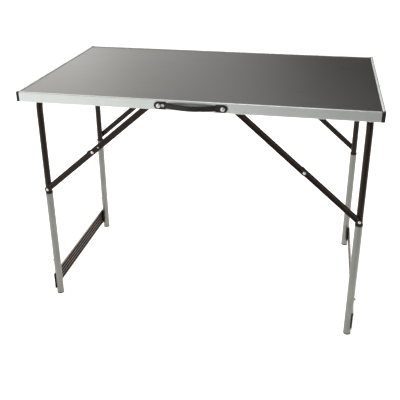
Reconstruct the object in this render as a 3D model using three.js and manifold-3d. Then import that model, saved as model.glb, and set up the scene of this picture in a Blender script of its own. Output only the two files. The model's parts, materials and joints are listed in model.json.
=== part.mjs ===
// Folding table with two swing-in leg frames, telescopic legs, jointed braces and a carry handle.
// Millimetres. +X runs along the table, -Y is the handle side, +Z is up, and the feet stand on Z = 0.
import * as THREE from "three";
import { mergeVertices } from "three/addons/utils/BufferGeometryUtils.js";
import Module from "manifold-3d";

const wasm = await Module();
wasm.setup();

// ---------------------------------------------------------------- driving dimensions
const LENGTH = 1000;
const WIDTH = 600;
const HEIGHT = 710;
const GAP = 0.3;                       // clearance between pieces that touch

const RAIL_HEIGHT = 27;
const RAIL_WALL = 1.6;
const RAIL_LIP = 1.5;                  // thickness of the top and bottom lips
const TOP_LIP_WIDTH = 8;
const BOTTOM_LIP_WIDTH = 13;
const CAP_SIZE = 10;
const CAP_WALL = 2.5;
const CAP_ROUND = 5;
const LAMINATE = 1.0;
const LAMINATE_RISE = 0.3;             // of the open middle above the border under the lips
const PANEL = 3.4;
const BOARD_INSET = 2.9;               // from the outer face of the rails to the board's edge

const HINGE_X = 467;
const HINGE_DROP = 21;                 // table top surface down to the hinge axis
const HINGE_Z = HEIGHT - HINGE_DROP;
const UPPER_TUBE_R = 9.5;
const UPPER_TUBE_BORE = 8.3;
const BEND_R = 50;
const UPPER_TUBE_END_Z = 100;
const LOWER_TUBE_R = 11;
const LOWER_TUBE_BORE = 9.8;
const LOWER_TUBE_TOP_Z = 368;
const COLLAR_R = 11.2;
const COLLAR_HEIGHT = 6;
const FOOT_R = 11.3;
const FOOT_HEIGHT = 3;
const FOOT_STUB = 20;

const HOLE_LOW_Z = 122;
const HOLE_PITCH = 70;
const HOLE_COUNT = 4;
const HOLE_R = 4;
const BUTTON_R = 3.5;
const BUTTON_PROUD = 4;

const CROSSBAR_LOW = 16;
const CROSSBAR_HIGH = 74;
const CROSSBAR_STAND_OFF = 11.6;       // from the tube's centre line to the bar's back
const CROSSBAR_SHEET = 1.6;
const RIDGE_COUNT = 4;
const RIDGE_PITCH = 12;
const RIDGE_HEIGHT = 2;
const RIDGE_STEPS = 5;

const LEG_PIVOT_DROP = 305;            // hinge axis down to the brace pivot on the leg
const TOP_PIVOT_X = 115;               // brace pivot under the board, from the table's middle
const LINK_R = 9;
const LINK_THICK = 2.2;
const PIVOT_HOLE_R = 3;
const PIN_R = 2.7;
const PIN_HEAD_R = 4.5;

// Layers outward from the leg's centre line, on the long side of the table.
const LOWER_LINK_AT = 10;
const PIN_HEAD_AT = 12.4;
const PIN_HEAD_THICK = 1.5;
const UPPER_LINK_AT = 14.2;
const EAR_AT = 16.7;
const EAR_THICK = 2;

const BRACKET_INNER_Z = HEIGHT - RAIL_HEIGHT + RAIL_LIP + 0.5;
const STRAP_TOP_Z = HEIGHT - 7;
const STRAP_HALF = 12;
const RAIL_PLATE_HALF = 20;
const HINGE_RING_BORE = 9.9;
const HINGE_RING_R = 12.2;
const HINGE_RING_HALF = 11;
const HINGE_PLATE_HALF = 30;
const PLATE_THICK = 2;

const HANDLE_HALF = 100;
const HANDLE_TAB_FROM = 67;
const HANDLE_TAB_HEIGHT = 21;
const HANDLE_TAB_THICK = 4;
const HANDLE_PROUD = 20;
const GRIP_HEIGHT = 15;
const GRIP_THICK = 4.5;
const GRIP_STEPS = 16;
const HANDLE_SCREW_X = 87;
const HANDLE_SLOT_RUN = 12;
const HANDLE_SLOT_R = 4.5;
const SCREW_SHOULDER_R = 4;
const SCREW_HEAD_R = 6;
const SCREW_HEAD = 2.5;

const TUBE_SIDES = 20;
const PIN_SIDES = 12;

// The left frame is the narrower one, so the two fold flat beside each other.
const FRAMES = [
  { name: "left", side: -1, legY: 230, hingeY: 168 },
  { name: "right", side: 1, legY: 265, hingeY: 203 },
];
const ENDS = [
  { name: "front", end: -1 },
  { name: "rear", end: 1 },
];

const FINISHES = {
  laminate: { color: 0x4b4846, roughness: 0.32, metalness: 0 },
  hardboard: { color: 0xb98f63, roughness: 0.8, metalness: 0 },
  aluminium: { color: 0xb9b9b4, roughness: 0.3, metalness: 1 },
  black_plastic: { color: 0x1b1a19, roughness: 0.5, metalness: 0 },
  handle_plastic: { color: 0x2a2320, roughness: 0.45, metalness: 0 },
  frame_paint: { color: 0x2b2320, roughness: 0.4, metalness: 0 },
  silver_tube: { color: 0x9a9a95, roughness: 0.35, metalness: 1 },
  zinc: { color: 0xc4c4c0, roughness: 0.3, metalness: 1 },
  brass: { color: 0xc9a24c, roughness: 0.3, metalness: 1 },
};

// ---------------------------------------------------------------- shared geometry helpers
const AXIS_X = new THREE.Vector3(1, 0, 0);
const AXIS_Y = new THREE.Vector3(0, 1, 0);
const AXIS_Z = new THREE.Vector3(0, 0, 1);

function toSolid(geometry) {
  const bare = new THREE.BufferGeometry();
  bare.setAttribute("position", geometry.getAttribute("position"));
  bare.setIndex(geometry.getIndex());
  const merged = mergeVertices(bare, 1e-4);
  const index = merged.getIndex().array;
  const triangles = [];
  for (let i = 0; i < index.length; i += 3) {
    const [a, b, c] = [index[i], index[i + 1], index[i + 2]];
    if (a !== b && b !== c && c !== a) {
      triangles.push(a, b, c);
    }
  }
  return new wasm.Manifold(new wasm.Mesh({
    numProp: 3,
    vertProperties: new Float32Array(merged.getAttribute("position").array),
    triVerts: new Uint32Array(triangles),
  }));
}

function toGeometry(solid) {
  const mesh = solid.getMesh();
  const geometry = new THREE.BufferGeometry();
  geometry.setAttribute("position", new THREE.BufferAttribute(mesh.vertProperties, 3));
  geometry.setIndex(new THREE.BufferAttribute(mesh.triVerts, 1));
  return geometry;
}

function join(...geometries) {
  return toGeometry(geometries.map(toSolid).reduce((whole, piece) => whole.add(piece)));
}

function cut(base, ...tools) {
  return toGeometry(tools.map(toSolid).reduce((whole, tool) => whole.subtract(tool), toSolid(base)));
}

// Solid of revolution. The profile's points are [radius, distance along the axis].
function revolve(profile, axis, segments = PIN_SIDES) {
  const points = profile.map(([radius, along]) => new THREE.Vector2(radius, along));
  const geometry = new THREE.LatheGeometry(points, segments);
  geometry.applyQuaternion(new THREE.Quaternion().setFromUnitVectors(AXIS_Y, axis));
  return geometry;
}

function cylinder(radius, from, to, axis, segments = PIN_SIDES) {
  return revolve([[0, from], [radius, from], [radius, to], [0, to]], axis, segments);
}

function ring(inner, outer, from, to, axis, segments = TUBE_SIDES) {
  const profile = [[inner, from], [outer, from], [outer, to], [inner, to], [inner, from]];
  return revolve(profile, axis, segments);
}

// Box between two values on each axis, whichever comes first.
function block([x0, x1], [y0, y1], [z0, z1]) {
  const geometry = new THREE.BoxGeometry(Math.abs(x1 - x0), Math.abs(y1 - y0), Math.abs(z1 - z0));
  return geometry.translate((x0 + x1) / 2, (y0 + y1) / 2, (z0 + z1) / 2);
}

// Plate from a shape drawn in X and Z, between two values of Y.
function plateAcrossY(shape, y0, y1, curveSegments = 8) {
  const geometry = new THREE.ExtrudeGeometry(shape, {
    depth: Math.abs(y1 - y0), bevelEnabled: false, curveSegments,
  });
  geometry.applyMatrix4(new THREE.Matrix4().makeBasis(AXIS_X, AXIS_Z, AXIS_Y.clone().negate()));
  return geometry.translate(0, Math.max(y0, y1), 0);
}

// Bar from a shape drawn in Y and Z, between two values of X.
function barAlongX(shape, x0, x1, curveSegments = 6) {
  const geometry = new THREE.ExtrudeGeometry(shape, {
    depth: Math.abs(x1 - x0), bevelEnabled: false, curveSegments,
  });
  geometry.applyMatrix4(new THREE.Matrix4().makeBasis(AXIS_Y, AXIS_Z, AXIS_X));
  return geometry.translate(Math.min(x0, x1), 0, 0);
}

function circlePath(x, y, radius) {
  return new THREE.Path().absarc(x, y, radius, 0, 2 * Math.PI, true);
}

// Strip with round ends about two points, each given as a Vector2.
function stadium(from, to, radius) {
  const lean = Math.atan2(to.y - from.y, to.x - from.x);
  const shape = new THREE.Shape();
  shape.absarc(from.x, from.y, radius, lean + Math.PI / 2, lean + 1.5 * Math.PI, false);
  shape.absarc(to.x, to.y, radius, lean - Math.PI / 2, lean + Math.PI / 2, false);
  shape.closePath();
  return shape;
}

// Path through stations, each a point and a direction, so a straight run takes one step.
class StationPath extends THREE.Curve {
  constructor(stations) {
    super();
    this.stations = stations;
  }

  blend(t, key, target) {
    const last = this.stations.length - 1;
    const place = t * last;
    const index = Math.min(Math.floor(place + 1e-6), last - 1);
    return target.lerpVectors(this.stations[index][key], this.stations[index + 1][key], place - index);
  }

  getPoint(t, target = new THREE.Vector3()) {
    return this.blend(t, "point", target);
  }

  getTangent(t, target = new THREE.Vector3()) {
    return this.blend(t, "direction", target).normalize();
  }

  getUtoTmapping(u) {
    return u;
  }
}

const table = new THREE.Group();
table.position.y = HANDLE_PROUD / 2;   // centres the whole, handle included, on the origin

function addPiece(name, geometry, finish) {
  const mesh = new THREE.Mesh(geometry, new THREE.MeshStandardMaterial(FINISHES[finish]));
  mesh.name = name;
  table.add(mesh);
  return mesh;
}

// ---------------------------------------------------------------- top: board, rails and corner caps
// The laminate's border slides under the rails' lips; its middle stands a little higher, clear of the caps.
function addBoard() {
  const x = LENGTH / 2 - BOARD_INSET;
  const y = WIDTH / 2 - BOARD_INSET;
  const openX = LENGTH / 2 - TOP_LIP_WIDTH - GAP;
  const openY = WIDTH / 2 - TOP_LIP_WIDTH - GAP;
  const notch = CAP_SIZE - TOP_LIP_WIDTH;
  const borderTop = HEIGHT - RAIL_LIP - GAP;
  const low = borderTop - LAMINATE;
  const high = borderTop + LAMINATE_RISE;
  const laminate = join(
    block([-x, x], [-y, y], [low, borderTop]),
    block([-openX, openX], [notch - openY, openY - notch], [low, high]),
    block([notch - openX, openX - notch], [-openY, openY], [low, high]),
  );
  addPiece("top_laminate", laminate, "laminate");
  addPiece("top_panel", block([-x, x], [-y, y], [low - GAP - PANEL, low - GAP]), "hardboard");
}

// Channel section, open to the inside, with its outer face at Y = 0 and the inside towards +Y.
function railSection() {
  const low = HEIGHT - RAIL_HEIGHT;
  const edge = 1.5;
  const shape = new THREE.Shape();
  shape.moveTo(BOTTOM_LIP_WIDTH, low);
  shape.lineTo(BOTTOM_LIP_WIDTH, low + RAIL_LIP);
  shape.lineTo(RAIL_WALL, low + RAIL_LIP);
  shape.lineTo(RAIL_WALL, HEIGHT - RAIL_LIP);
  shape.lineTo(TOP_LIP_WIDTH, HEIGHT - RAIL_LIP);
  shape.lineTo(TOP_LIP_WIDTH, HEIGHT - RAIL_LIP / 2);
  shape.lineTo(TOP_LIP_WIDTH - RAIL_LIP / 2, HEIGHT);
  shape.lineTo(edge, HEIGHT);
  shape.absarc(edge, HEIGHT - edge, edge, Math.PI / 2, Math.PI, false);
  shape.absarc(edge, low + edge, edge, Math.PI, 1.5 * Math.PI, false);
  shape.closePath();
  return shape;
}

// The lips that reach in past the corner cap are cut back at 45 degrees, so they meet in a mitre.
function addRail(name, halfRun, halfSpan, turn) {
  const geometry = barAlongX(railSection(), -halfRun, halfRun);
  const position = geometry.getAttribute("position");
  for (let i = 0; i < position.count; i += 1) {
    const cutBack = Math.max(CAP_SIZE, position.getY(i)) + GAP;
    position.setX(i, Math.sign(position.getX(i)) * (halfRun - cutBack));
  }
  geometry.translate(0, -halfSpan, 0);
  addPiece(name, geometry.rotateZ(turn), "aluminium");
}

function addRails() {
  addRail("rail_front", LENGTH / 2, WIDTH / 2, 0);
  addRail("rail_right", WIDTH / 2, LENGTH / 2, Math.PI / 2);
  addRail("rail_rear", LENGTH / 2, WIDTH / 2, Math.PI);
  addRail("rail_left", WIDTH / 2, LENGTH / 2, -Math.PI / 2);
}

// Moulded cap with its outer corner at the origin, reaching towards -X and -Y.
function cornerCap() {
  const shape = new THREE.Shape();
  shape.moveTo(-CAP_SIZE, -CAP_SIZE);
  shape.lineTo(0, -CAP_SIZE);
  shape.lineTo(0, -CAP_ROUND);
  shape.absarc(-CAP_ROUND, -CAP_ROUND, CAP_ROUND, 0, Math.PI / 2, false);
  shape.lineTo(-CAP_SIZE, 0);
  shape.closePath();
  const body = new THREE.ExtrudeGeometry(shape, {
    depth: RAIL_HEIGHT, bevelEnabled: false, curveSegments: 8,
  });
  const reach = 2 * CAP_SIZE;
  const pocket = block([-reach, -CAP_WALL], [-reach, -CAP_WALL], [RAIL_LIP, RAIL_HEIGHT - RAIL_LIP]);
  return cut(body, pocket).translate(0, 0, HEIGHT - RAIL_HEIGHT);
}

function addCaps() {
  const corners = [
    ["rear_right", 1, 1, 0],
    ["rear_left", -1, 1, Math.PI / 2],
    ["front_left", -1, -1, Math.PI],
    ["front_right", 1, -1, -Math.PI / 2],
  ];
  for (const [name, sideX, sideY, turn] of corners) {
    const geometry = cornerCap().rotateZ(turn);
    geometry.translate(sideX * LENGTH / 2, sideY * WIDTH / 2, 0);
    addPiece(`cap_${name}`, geometry, "black_plastic");
  }
}

// ---------------------------------------------------------------- carry handle
const HANDLE_Z = HEIGHT - RAIL_HEIGHT / 2 - 1;

// The grip seen from above: a flat strap that bows out from the rail between the tabs.
function handleGrip() {
  const reach = HANDLE_TAB_FROM + 2;
  const bow = (x) => Math.cos(Math.PI * x / 2 / reach) ** 1.3 * (HANDLE_PROUD - GAP - GRIP_THICK);
  const edge = [];
  for (let step = 0; step <= GRIP_STEPS; step += 1) {
    edge.push(reach * (2 * step / GRIP_STEPS - 1));
  }
  const back = edge.map((x) => new THREE.Vector2(x, -WIDTH / 2 - GAP - bow(x)));
  const front = edge.map((x) => new THREE.Vector2(x, -WIDTH / 2 - GAP - bow(x) - GRIP_THICK)).reverse();
  const strap = new THREE.ExtrudeGeometry(new THREE.Shape([...back, ...front]), {
    depth: GRIP_HEIGHT, bevelEnabled: false,
  });
  return strap.translate(0, 0, HANDLE_Z - GRIP_HEIGHT / 2);
}

// Flat tab under each screw, square towards the grip and round at its outer end.
function handleTab(side) {
  const round = HANDLE_TAB_HEIGHT / 2;
  const from = new THREE.Vector2(side * (HANDLE_TAB_FROM - round), HANDLE_Z);
  const to = new THREE.Vector2(side * (HANDLE_HALF - round), HANDLE_Z);
  const face = -WIDTH / 2 - GAP;
  const tab = plateAcrossY(stadium(from, to, round), face - HANDLE_TAB_THICK, face);
  const inner = [side * (HANDLE_TAB_FROM - 3 * round), side * HANDLE_TAB_FROM];
  const tall = [HANDLE_Z - HANDLE_TAB_HEIGHT, HANDLE_Z + HANDLE_TAB_HEIGHT];
  return cut(tab, block(inner, [face - 2 * HANDLE_TAB_THICK, face + 1], tall));
}

function addHandle() {
  const slotEnd = new THREE.Vector2(-HANDLE_SCREW_X + HANDLE_SLOT_RUN, HANDLE_Z);
  const slot = stadium(new THREE.Vector2(-HANDLE_SCREW_X, HANDLE_Z), slotEnd, HANDLE_SLOT_R);
  const tabFront = -WIDTH / 2 - HANDLE_PROUD;
  const hole = cylinder(HANDLE_SLOT_R, -HANDLE_PROUD, 1, AXIS_Y, TUBE_SIDES);
  hole.translate(HANDLE_SCREW_X, -WIDTH / 2, HANDLE_Z);
  const strap = join(handleGrip(), handleTab(-1), handleTab(1));
  const holed = cut(strap, hole, plateAcrossY(slot, tabFront, -WIDTH / 2 + 1));
  addPiece("carry_handle", holed, "handle_plastic");

  for (const [name, side] of [["left", -1], ["right", 1]]) {
    const head = HANDLE_TAB_THICK + 2 * GAP;
    const screw = revolve([
      [0, GAP], [SCREW_SHOULDER_R, GAP], [SCREW_SHOULDER_R, head], [SCREW_HEAD_R, head],
      [SCREW_HEAD_R, head + SCREW_HEAD / 2], [SCREW_HEAD_R * 0.7, head + SCREW_HEAD], [0, head + SCREW_HEAD],
    ], AXIS_Y.clone().negate(), TUBE_SIDES);
    screw.translate(side * HANDLE_SCREW_X, -WIDTH / 2, HANDLE_Z);
    addPiece(`handle_screw_${name}`, screw, "zinc");
  }
}

// ---------------------------------------------------------------- brackets under the board
function addHingeBracket(frame, end) {
  const y = end.end * frame.hingeY;
  const wall = LENGTH / 2 - RAIL_WALL - GAP;
  const across = [y - HINGE_RING_HALF, y + HINGE_RING_HALF];
  const top = HINGE_Z + HINGE_RING_R;
  const loop = ring(HINGE_RING_BORE, HINGE_RING_R, -HINGE_RING_HALF, HINGE_RING_HALF, AXIS_Y, 24);
  loop.translate(frame.side * HINGE_X, y, HINGE_Z);
  const armX = [frame.side * HINGE_X, frame.side * (wall - PLATE_THICK / 2)];
  const arm = block(armX, across, [top - PLATE_THICK, top]);
  const plateX = [frame.side * (wall - PLATE_THICK), frame.side * wall];
  const plateY = [y - HINGE_PLATE_HALF, y + HINGE_PLATE_HALF];
  const plate = block(plateX, plateY, [BRACKET_INNER_Z, top]);
  addPiece(`hinge_bracket_${frame.name}_${end.name}`, join(loop, arm, plate), "frame_paint");
}

function topPivot(frame) {
  return new THREE.Vector2(frame.side * TOP_PIVOT_X, HINGE_Z);
}

function addBraceBracket(frame, end) {
  const pivot = topPivot(frame);
  const at = (layer) => end.end * (frame.legY + layer);
  const wall = end.end * (WIDTH / 2 - RAIL_WALL - GAP);
  const across = [pivot.x - STRAP_HALF, pivot.x + STRAP_HALF];
  const strapZ = [STRAP_TOP_Z - PLATE_THICK, STRAP_TOP_Z];
  const earShape = stadium(pivot, new THREE.Vector2(pivot.x, STRAP_TOP_Z - LINK_R), LINK_R);
  const ear = plateAcrossY(earShape, at(EAR_AT), at(EAR_AT + EAR_THICK));
  const strap = block(across, [at(EAR_AT), wall], strapZ);
  const plateX = [pivot.x - RAIL_PLATE_HALF, pivot.x + RAIL_PLATE_HALF];
  const plateY = [wall - end.end * PLATE_THICK, wall];
  const plate = block(plateX, plateY, [BRACKET_INNER_Z, STRAP_TOP_Z]);
  const outward = AXIS_Y.clone().multiplyScalar(end.end);
  const earOuter = EAR_AT + EAR_THICK;
  const pin = revolve([
    [0, PIN_HEAD_AT], [PIN_HEAD_R, PIN_HEAD_AT], [PIN_HEAD_R, PIN_HEAD_AT + PIN_HEAD_THICK],
    [PIN_R, PIN_HEAD_AT + PIN_HEAD_THICK], [PIN_R, earOuter - 0.5],
    [PIN_HEAD_R, earOuter - 0.5], [PIN_HEAD_R, earOuter + 0.8], [PIN_R, earOuter + 1.5], [0, earOuter + 1.5],
  ], outward);
  pin.translate(pivot.x, end.end * frame.legY, pivot.y);
  addPiece(`brace_bracket_${frame.name}_${end.name}`, join(ear, strap, plate, pin), "frame_paint");
}

// ---------------------------------------------------------------- leg frames
function upperFrame(frame) {
  const x = frame.side * HINGE_X;
  const bendSteps = 6;
  const stations = [];
  const addStation = (y, z, dirY, dirZ) => stations.push({
    point: new THREE.Vector3(x, y, z), direction: new THREE.Vector3(0, dirY, dirZ),
  });
  addStation(-frame.legY, UPPER_TUBE_END_Z, 0, 1);
  for (const side of [-1, 1]) {
    for (let step = 0; step <= bendSteps; step += 1) {
      const swing = (side < 0 ? step : bendSteps - step) * Math.PI / 2 / bendSteps;
      const y = side * (frame.legY - BEND_R + BEND_R * Math.cos(swing));
      const z = HINGE_Z - BEND_R + BEND_R * Math.sin(swing);
      addStation(y, z, Math.sin(swing), -side * Math.cos(swing));
    }
  }
  addStation(frame.legY, UPPER_TUBE_END_Z, 0, -1);
  const section = new THREE.Shape().absarc(0, 0, UPPER_TUBE_R, 0, 2 * Math.PI, false);
  section.holes.push(circlePath(0, 0, UPPER_TUBE_BORE));
  const tube = new THREE.ExtrudeGeometry(section, {
    steps: stations.length - 1, extrudePath: new StationPath(stations), curveSegments: TUBE_SIDES / 2,
  });
  const holes = ENDS.map(({ end }) => buttonHole(frame, end, HOLE_LOW_Z));
  return cut(tube, ...holes);
}

// Cutter through the outer wall of a leg tube.
function buttonHole(frame, end, z) {
  const cutter = cylinder(HOLE_R, 4, 2 * LOWER_TUBE_R, AXIS_X.clone().multiplyScalar(frame.side));
  return cutter.translate(frame.side * HINGE_X, end * frame.legY, z);
}

function addLowerLeg(frame, end) {
  const suffix = `${frame.name}_${end.name}`;
  const x = frame.side * HINGE_X;
  const y = end.end * frame.legY;
  const tube = ring(LOWER_TUBE_BORE, LOWER_TUBE_R, FOOT_HEIGHT + GAP, LOWER_TUBE_TOP_Z, AXIS_Z);
  tube.translate(x, y, 0);
  const holes = [];
  for (let step = 0; step < HOLE_COUNT; step += 1) {
    holes.push(buttonHole(frame, end.end, HOLE_LOW_Z + step * HOLE_PITCH));
  }
  addPiece(`lower_leg_${suffix}`, cut(tube, ...holes), "silver_tube");

  const collarLow = LOWER_TUBE_TOP_Z + GAP;
  const collar = ring(LOWER_TUBE_BORE, COLLAR_R, collarLow, LOWER_TUBE_TOP_Z + COLLAR_HEIGHT, AXIS_Z);
  addPiece(`collar_${suffix}`, collar.translate(x, y, 0), "black_plastic");

  const stub = LOWER_TUBE_BORE - GAP;
  const foot = revolve([
    [0, 0], [FOOT_R - 1, 0], [FOOT_R, 1], [FOOT_R, FOOT_HEIGHT],
    [stub, FOOT_HEIGHT], [stub, FOOT_HEIGHT + FOOT_STUB], [0, FOOT_HEIGHT + FOOT_STUB],
  ], AXIS_Z, TUBE_SIDES);
  addPiece(`foot_${suffix}`, foot.translate(x, y, 0), "black_plastic");

  const button = revolve([
    [0, 0], [BUTTON_R, 0], [BUTTON_R, BUTTON_PROUD * 0.5], [BUTTON_R * 0.7, BUTTON_PROUD * 0.87],
    [0, BUTTON_PROUD],
  ], AXIS_X.clone().multiplyScalar(frame.side));
  button.translate(x + frame.side * (LOWER_TUBE_R + GAP), y, HOLE_LOW_Z);
  addPiece(`height_button_${suffix}`, button, "brass");
}

// Pressed bar with lengthwise ridges, fixed to the outer side of the two lower tubes.
function addCrossbar(frame) {
  const ridgeStart = (CROSSBAR_LOW + CROSSBAR_HIGH - RIDGE_COUNT * RIDGE_PITCH) / 2;
  const wave = [];
  for (let step = 0; step <= RIDGE_COUNT * RIDGE_STEPS; step += 1) {
    const turn = 2 * Math.PI * step / RIDGE_STEPS;
    wave.push([RIDGE_HEIGHT * (1 - Math.cos(turn)) / 2, ridgeStart + RIDGE_PITCH * step / RIDGE_STEPS]);
  }
  const line = [[0, CROSSBAR_LOW], ...wave, [0, CROSSBAR_HIGH]];
  const x = (offset) => frame.side * (HINGE_X + CROSSBAR_STAND_OFF + offset);
  const front = line.map(([offset, z]) => new THREE.Vector2(x(offset + CROSSBAR_SHEET), z));
  const back = line.map(([offset, z]) => new THREE.Vector2(x(offset), z)).reverse();
  const half = frame.legY + LOWER_TUBE_R;
  addPiece(`crossbar_${frame.name}`, plateAcrossY(new THREE.Shape([...front, ...back]), -half, half), "frame_paint");
}

// ---------------------------------------------------------------- braces
// Two links in line when open. Folded, they lie along the leg, so their lengths differ by the
// distance between the folded leg's pivot and the pivot under the board.
function addBrace(frame, end) {
  const suffix = `${frame.name}_${end.name}`;
  const top = topPivot(frame);
  const low = new THREE.Vector2(frame.side * HINGE_X, HINGE_Z - LEG_PIVOT_DROP);
  const foldedGap = Math.abs(HINGE_X - LEG_PIVOT_DROP - TOP_PIVOT_X);
  const span = top.distanceTo(low);
  const upperLength = (span + foldedGap) / 2;
  const middle = top.clone().lerp(low, upperLength / span);
  const outward = AXIS_Y.clone().multiplyScalar(end.end);
  const at = (layer) => end.end * (frame.legY + layer);

  const lower = stadium(low, middle, LINK_R);
  lower.holes.push(circlePath(low.x, low.y, PIVOT_HOLE_R));
  const lowerLink = plateAcrossY(lower, at(LOWER_LINK_AT), at(LOWER_LINK_AT + LINK_THICK));
  addPiece(`brace_lower_${suffix}`, lowerLink, "frame_paint");

  const upper = stadium(top, middle, LINK_R);
  upper.holes.push(circlePath(top.x, top.y, PIVOT_HOLE_R));
  upper.holes.push(circlePath(middle.x, middle.y, PIVOT_HOLE_R));
  const upperLink = plateAcrossY(upper, at(UPPER_LINK_AT), at(UPPER_LINK_AT + LINK_THICK));
  addPiece(`brace_upper_${suffix}`, upperLink, "frame_paint");

  const headTop = PIN_HEAD_AT + PIN_HEAD_THICK;
  const legRivet = revolve([
    [0, UPPER_TUBE_R + GAP], [PIN_R, UPPER_TUBE_R + GAP], [PIN_R, PIN_HEAD_AT], [PIN_HEAD_R, PIN_HEAD_AT],
    [PIN_HEAD_R, headTop - 0.7], [PIN_R, headTop], [0, headTop],
  ], outward);
  addPiece(`leg_rivet_${suffix}`, legRivet.translate(low.x, end.end * frame.legY, low.y), "zinc");

  const linkOuter = UPPER_LINK_AT + LINK_THICK + GAP;
  const middleRivet = revolve([
    [0, PIN_HEAD_AT + 0.1], [PIN_HEAD_R, PIN_HEAD_AT + 0.1], [PIN_HEAD_R, headTop], [PIN_R, headTop],
    [PIN_R, linkOuter], [PIN_HEAD_R, linkOuter], [PIN_HEAD_R, linkOuter + 0.8], [PIN_R, linkOuter + 1.5],
    [0, linkOuter + 1.5],
  ], outward);
  addPiece(
    `middle_rivet_${suffix}`, middleRivet.translate(middle.x, end.end * frame.legY, middle.y), "zinc",
  );
}

// ---------------------------------------------------------------- assembly
addBoard();
addRails();
addCaps();
addHandle();
for (const frame of FRAMES) {
  addPiece(`leg_frame_${frame.name}`, upperFrame(frame), "frame_paint");
  addCrossbar(frame);
  for (const end of ENDS) {
    addHingeBracket(frame, end);
    addBraceBracket(frame, end);
    addLowerLeg(frame, end);
    addBrace(frame, end);
  }
}

export default table;
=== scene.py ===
"""Looks of the folding table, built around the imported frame. Metres, in the frame's own axes."""
import json
import math

import bmesh
import bpy
from mathutils import Matrix, Vector


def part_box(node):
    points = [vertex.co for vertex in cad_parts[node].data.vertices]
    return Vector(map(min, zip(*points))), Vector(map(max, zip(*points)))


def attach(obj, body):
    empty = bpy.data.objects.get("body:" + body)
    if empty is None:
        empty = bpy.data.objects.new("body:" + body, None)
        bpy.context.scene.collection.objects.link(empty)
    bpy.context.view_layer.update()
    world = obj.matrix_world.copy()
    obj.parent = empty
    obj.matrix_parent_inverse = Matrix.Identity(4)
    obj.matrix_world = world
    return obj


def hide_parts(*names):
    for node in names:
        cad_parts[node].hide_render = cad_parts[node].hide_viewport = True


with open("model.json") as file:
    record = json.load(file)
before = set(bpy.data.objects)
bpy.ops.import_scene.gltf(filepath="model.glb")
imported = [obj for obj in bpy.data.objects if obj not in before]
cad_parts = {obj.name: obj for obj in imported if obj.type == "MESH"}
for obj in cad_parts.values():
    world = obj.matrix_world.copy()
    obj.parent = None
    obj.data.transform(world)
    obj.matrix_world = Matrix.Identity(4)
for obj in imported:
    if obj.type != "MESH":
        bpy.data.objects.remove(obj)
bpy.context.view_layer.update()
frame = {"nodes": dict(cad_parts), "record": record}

MM = 0.001
X_AXIS = Vector((1, 0, 0))
Y_AXIS = Vector((0, 1, 0))
Z_AXIS = Vector((0, 0, 1))
JOINTS = {joint["name"]: joint for joint in frame["record"]["behaviour"]["joints"]}
SIDES = {"left": -1, "right": 1}
ENDS = {"front": -1, "rear": 1}
SHARP_DEGREES = 32


# ------------------------------------------------------------------ materials
class Shader:
    """Node tree of one material, with a few calls that keep the recipes below short."""

    def __init__(self, name):
        self.material = bpy.data.materials.new(name)
        self.material.use_nodes = True
        self.tree = self.material.node_tree
        self.bsdf = self.tree.nodes["Principled BSDF"]

    def add(self, kind, **settings):
        node = self.tree.nodes.new(kind)
        for key, value in settings.items():
            setattr(node, key, value)
        return node

    def join(self, output, socket):
        self.tree.links.new(output, socket)

    def place(self, scale=(1, 1, 1)):
        """Surface position in metres, stretched by scale."""
        coordinates = self.add("ShaderNodeTexCoord")
        mapping = self.add("ShaderNodeMapping")
        mapping.inputs["Scale"].default_value = scale
        self.join(coordinates.outputs["Object"], mapping.inputs["Vector"])
        return mapping.outputs["Vector"]

    def noise(self, vector, scale, detail=3.0, roughness=0.5):
        node = self.add("ShaderNodeTexNoise")
        node.inputs["Scale"].default_value = scale
        node.inputs["Detail"].default_value = detail
        node.inputs["Roughness"].default_value = roughness
        self.join(vector, node.inputs["Vector"])
        return node.outputs["Fac"]

    def ramp(self, value, stops):
        """Colour ramp over (position, colour) stops."""
        node = self.add("ShaderNodeValToRGB")
        elements = node.color_ramp.elements
        while len(elements) < len(stops):
            elements.new(0.5)
        for element, (position, colour) in zip(elements, stops):
            element.position = position
            element.color = (*colour, 1)
        self.join(value, node.inputs["Fac"])
        return node.outputs["Color"]

    def span(self, value, low, high, source_low=0.3, source_high=0.7):
        """Maps the value's source range on to low..high, clamped."""
        node = self.add("ShaderNodeMapRange")
        node.inputs["From Min"].default_value = source_low
        node.inputs["From Max"].default_value = source_high
        node.inputs["To Min"].default_value = low
        node.inputs["To Max"].default_value = high
        self.join(value, node.inputs["Value"])
        return node.outputs["Result"]

    def mix(self, factor, first, second):
        """Blend of two colours, each a socket or a plain colour, by the factor's 0 to 1."""
        node = self.add("ShaderNodeMix", data_type="RGBA")
        self.join(factor, node.inputs["Factor"])
        for value, socket in ((first, node.inputs[6]), (second, node.inputs[7])):
            if isinstance(value, tuple):
                socket.default_value = (*value, 1)
            else:
                self.join(value, socket)
        return node.outputs[2]

    def bump(self, height, distance, strength=1.0, under=None):
        """Bump of the given distance in metres, on top of the normal passed as under."""
        node = self.add("ShaderNodeBump")
        node.inputs["Distance"].default_value = distance
        node.inputs["Strength"].default_value = strength
        self.join(height, node.inputs["Height"])
        if under is not None:
            self.join(under, node.inputs["Normal"])
        return node.outputs["Normal"]

    def finish(self, colour=None, roughness=None, normal=None, **constants):
        """Joins what varies and sets what is the same all over, on the shader's own sockets."""
        for output, socket in ((colour, "Base Color"), (roughness, "Roughness"), (normal, "Normal")):
            if output is not None:
                self.join(output, self.bsdf.inputs[socket])
        for socket, value in constants.items():
            self.bsdf.inputs[socket.replace("_", " ")].default_value = value
        return self.material


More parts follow.
